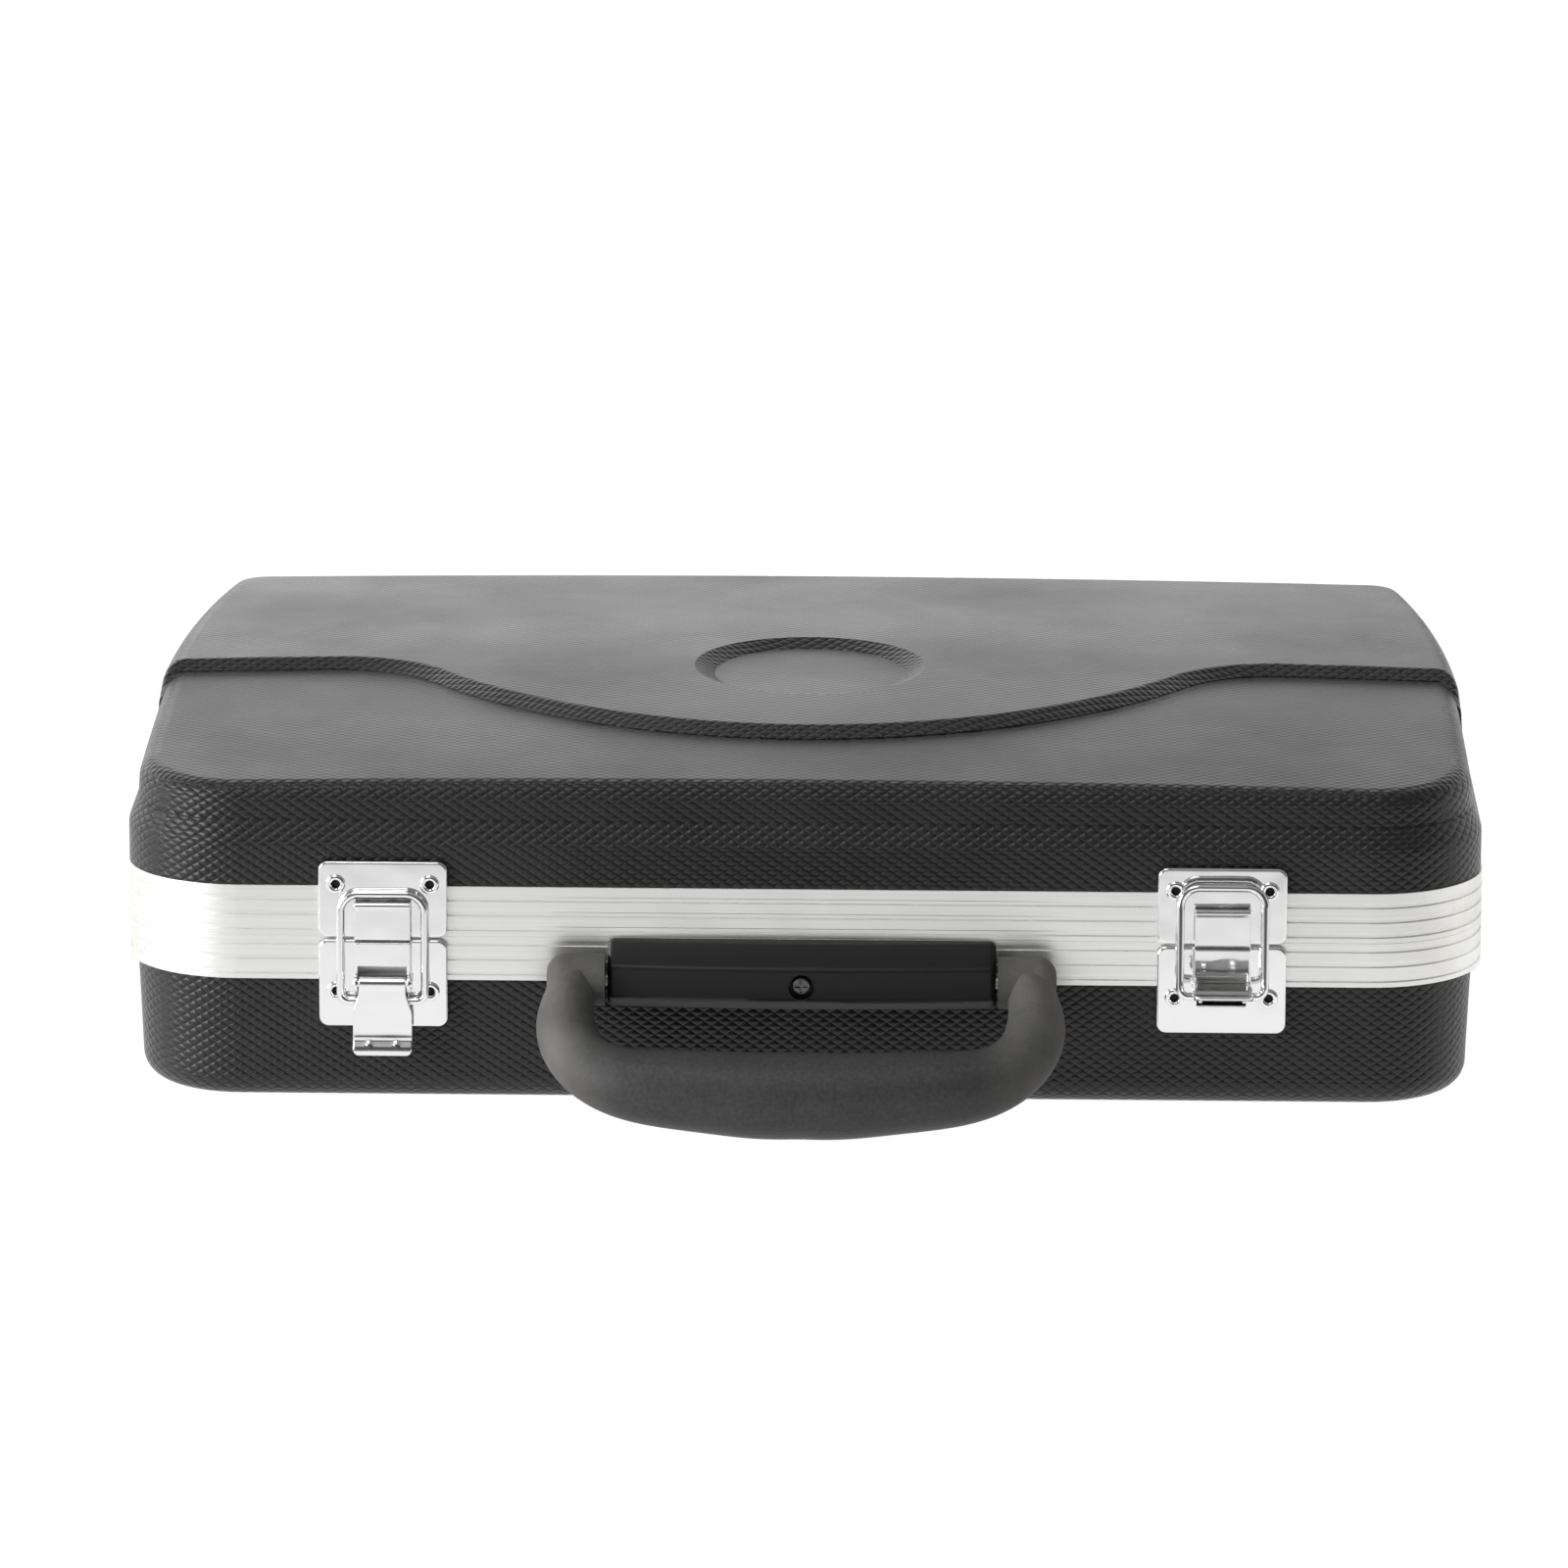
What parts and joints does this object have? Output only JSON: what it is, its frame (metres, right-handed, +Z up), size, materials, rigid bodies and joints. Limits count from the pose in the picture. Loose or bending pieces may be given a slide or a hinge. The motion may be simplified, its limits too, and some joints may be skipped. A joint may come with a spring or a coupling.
{
  "type": "clarinet case",
  "caption": "Hard case for a clarinet: textured black base and hinged lid with grooved aluminium rims, draw latches, a swinging handle and a fitted plush interior.",
  "frame": {"origin": "centre of the flat underside, on the surface the case lies on", "axes": "+X along the case to the right, -Y to the front with the latches and handle, +Z up through the lid"},
  "size_m": [0.36, 0.2818, 0.096],
  "materials": {
    "moulded_shell": "black moulded plastic with a fine raised diamond weave",
    "rim": "satin extruded aluminium with fine lengthwise grooves, scuffed at the corners",
    "latch_plate": "polished plated steel",
    "latch_lever": "polished plated steel",
    "bail_wire": "polished plated wire",
    "rivet": "polished hollow rivets",
    "pin": "plain turned steel",
    "hinge_leaf": "polished plated steel",
    "handle": "matte black moulded grip",
    "handle_mount": "smooth black moulded plastic",
    "screw": "zinc-plated steel, cross recess",
    "backing_plate": "zinc-plated steel strip",
    "insert_plush": "short dark blue plush",
    "lining_plush": "short dark blue plush"
  },
  "bodies": {
    "base": {"base_insert": "insert_plush", "base_rim": "rim", "base_shell": "moulded_shell", "handle_backing_plate": "backing_plate", "handle_mount": "handle_mount", "handle_mount_screw": "screw", "handle_pins": "pin", "hinge_leaf_lower_left": "hinge_leaf", "hinge_leaf_lower_right": "hinge_leaf", "hinge_pin_left": "pin", "hinge_pin_right": "pin", "hinge_rivets_lower": "rivet", "latch_base_left": "latch_plate", "latch_base_right": "latch_plate", "latch_base_rivets": "rivet", "latch_pin_left": "pin", "latch_pin_right": "pin"},
    "lid": {"catch_plate_left": "latch_plate", "catch_plate_right": "latch_plate", "catch_plate_rivets": "rivet", "hinge_leaf_upper_left": "hinge_leaf", "hinge_leaf_upper_right": "hinge_leaf", "hinge_rivets_upper": "rivet", "lid_lining": "lining_plush", "lid_rim": "rim", "lid_shell": "moulded_shell"},
    "handle": {"handle_grip": "handle"},
    "lever_left": {"latch_lever_left": "latch_lever"},
    "lever_right": {"latch_lever_right": "latch_lever"},
    "bail_left": {"latch_bail_left": "bail_wire"},
    "bail_right": {"latch_bail_right": "bail_wire"}
  },
  "joints": [
    {"name": "lid_hinge", "type": "hinge", "parent": "base", "child": "lid", "pos_m": [0, 0.1171, 0.046], "axis": [-1, 0, 0], "range_deg": [0, 105]},
    {"name": "handle_swing", "type": "hinge", "parent": "base", "child": "handle", "pos_m": [0, -0.1215, 0.0365], "axis": [-1, 0, 0], "range_deg": [-50, 120]},
    {"name": "lever_left", "type": "hinge", "parent": "base", "child": "lever_left", "pos_m": [-0.1103, -0.119, 0.0342], "axis": [-1, 0, 0], "range_deg": [0, 140]},
    {"name": "lever_right", "type": "hinge", "parent": "base", "child": "lever_right", "pos_m": [0.1103, -0.119, 0.0342], "axis": [-1, 0, 0], "range_deg": [-92, 48]},
    {"name": "bail_left", "type": "hinge", "parent": "lever_left", "child": "bail_left", "pos_m": [-0.1103, -0.1185, 0.0293], "axis": [-1, 0, 0], "range_deg": [-132, 0]},
    {"name": "bail_right", "type": "hinge", "parent": "lever_right", "child": "bail_right", "pos_m": [0.1103, -0.12391, 0.03387], "axis": [-1, 0, 0], "range_deg": [-46, 87]}
  ],
  "couplings": [
    {"joint": "bail_left", "follows": "lever_left", "ratio": -0.94},
    {"joint": "bail_right", "follows": "lever_right", "ratio": -0.94}
  ]
}
